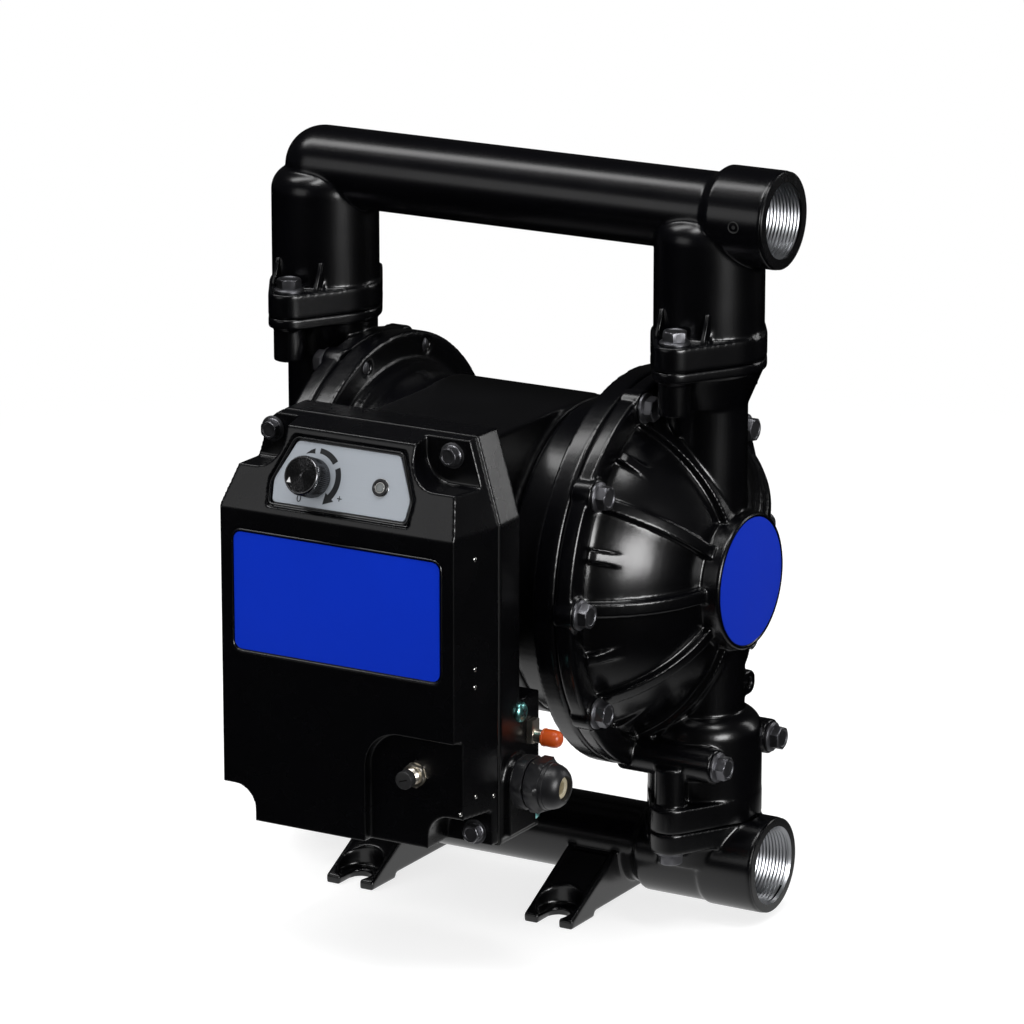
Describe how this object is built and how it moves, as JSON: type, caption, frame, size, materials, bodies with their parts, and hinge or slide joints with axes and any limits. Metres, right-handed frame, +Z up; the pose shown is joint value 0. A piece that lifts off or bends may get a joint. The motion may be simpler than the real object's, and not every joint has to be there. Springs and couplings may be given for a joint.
{
  "type": "electric double diaphragm pump",
  "caption": "Electric double diaphragm pump with twin round covers, upper and lower pipe runs with threaded ports, and a front control box with a speed knob.",
  "frame": {"origin": "on the floor plane at the centre of the four foot slots, midway between the two pump ends", "axes": "+X along the pipe runs towards the open ports, -Y towards the control box, +Z up"},
  "size_m": [0.3438, 0.3302, 0.4512],
  "materials": {
    "black_coat": "satin black powder coat over cast aluminium",
    "dark_zinc": "dark zinc plated steel",
    "blue_plate": "blue enamel, blank",
    "silver_panel": "brushed anodised panel",
    "knob_metal": "spun and anodised dark grey",
    "machined_steel": "ground steel",
    "plate_aluminium": "machined aluminium",
    "nickel": "nickel plated brass",
    "bronze": "bronze",
    "lamination_steel": "stacked steel sheet",
    "magnet": "nickel plated magnet",
    "copper": "enamelled copper windings",
    "black_nylon": "glossy black nylon",
    "orange_cap": "orange plastic",
    "black_rubber": "moulded black rubber",
    "cream_rubber": "cream sealing rubber",
    "ball_plastic": "off-white check ball",
    "seat_steel": "stainless ball seat",
    "board": "green circuit board",
    "lens": "grey lamp lens",
    "green_zinc": "green chromated zinc"
  },
  "bodies": {
    "pump_body": {"motor_housing": "black_coat", "left_air_cover": "black_coat", "right_air_cover": "black_coat", "left_fluid_cover": "black_coat", "right_fluid_cover": "black_coat", "outlet_manifold": "black_coat", "inlet_manifold": "black_coat", "control_housing": "black_coat", "control_cover": "black_coat", "left_cover_bolts": "dark_zinc", "right_cover_bolts": "dark_zinc", "outlet_manifold_bolts": "dark_zinc", "inlet_manifold_bolts": "dark_zinc", "control_cover_bolts": "dark_zinc", "housing_screws": "dark_zinc", "board_screws": "dark_zinc", "nameplate": "blue_plate", "left_badge": "blue_plate", "right_badge": "blue_plate", "control_panel_plate": "silver_panel", "connector_nut": "nickel", "sensor_connector": "nickel", "test_elbow": "nickel", "shaft_bushings": "bronze", "stator_core": "lamination_steel", "stator_coils": "copper", "gland_body": "black_nylon", "gland_nut": "black_nylon", "gland_locknut": "black_nylon", "lamp_bezel": "black_nylon", "connector_cap": "black_nylon", "potentiometer": "black_nylon", "test_cap": "orange_cap", "left_diaphragm": "black_rubber", "right_diaphragm": "black_rubber", "cover_gasket": "black_rubber", "seat_seals": "black_rubber", "gland_seal": "cream_rubber", "outlet_ball_seats": "seat_steel", "inlet_ball_seats": "seat_steel", "circuit_board": "board", "lamp_lens": "lens", "ground_screws": "green_zinc"},
    "rotor": {"rotor_drum": "machined_steel", "rotor_magnets": "magnet", "drive_nut": "bronze", "rotor_bearings": "machined_steel"},
    "drive_shaft": {"drive_screw": "machined_steel", "left_air_plate": "plate_aluminium", "right_air_plate": "plate_aluminium", "left_fluid_plate": "plate_aluminium", "right_fluid_plate": "plate_aluminium", "plate_nuts": "machined_steel"},
    "speed_control": {"speed_knob": "knob_metal", "knob_shaft": "machined_steel"},
    "left_outlet_valve": {"left_outlet_ball": "ball_plastic"},
    "right_outlet_valve": {"right_outlet_ball": "ball_plastic"},
    "left_inlet_valve": {"left_inlet_ball": "ball_plastic"},
    "right_inlet_valve": {"right_inlet_ball": "ball_plastic"}
  },
  "joints": [
    {"name": "rotor_turn", "type": "hinge", "parent": "pump_body", "child": "rotor", "pos_m": [0, 0, 0.2052], "axis": [1, 0, 0], "range_deg": [-216, 216]},
    {"name": "shaft_slide", "type": "slide", "parent": "pump_body", "child": "drive_shaft", "axis": [1, 0, 0], "range_m": [-0.012, 0.012], "deforming": ["right_diaphragm", "left_diaphragm"]},
    {"name": "speed_knob_turn", "type": "hinge", "parent": "pump_body", "child": "speed_control", "pos_m": [-0.0195, -0.19212, 0.28798], "axis": [0, 0.9363, -0.3511], "range_deg": [-33, 267]},
    {"name": "left_outlet_ball_lift", "type": "slide", "parent": "pump_body", "child": "left_outlet_valve", "axis": [0, 0, 1], "range_m": [0, 0.009]},
    {"name": "left_inlet_ball_lift", "type": "slide", "parent": "pump_body", "child": "left_inlet_valve", "axis": [0, 0, 1], "range_m": [0, 0.009]},
    {"name": "right_outlet_ball_lift", "type": "slide", "parent": "pump_body", "child": "right_outlet_valve", "axis": [0, 0, 1], "range_m": [0, 0.009]},
    {"name": "right_inlet_ball_lift", "type": "slide", "parent": "pump_body", "child": "right_inlet_valve", "axis": [0, 0, 1], "range_m": [0, 0.009]}
  ],
  "couplings": [
    {"joint": "shaft_slide", "follows": "rotor_turn", "m_per_rad": 0.003183}
  ]
}
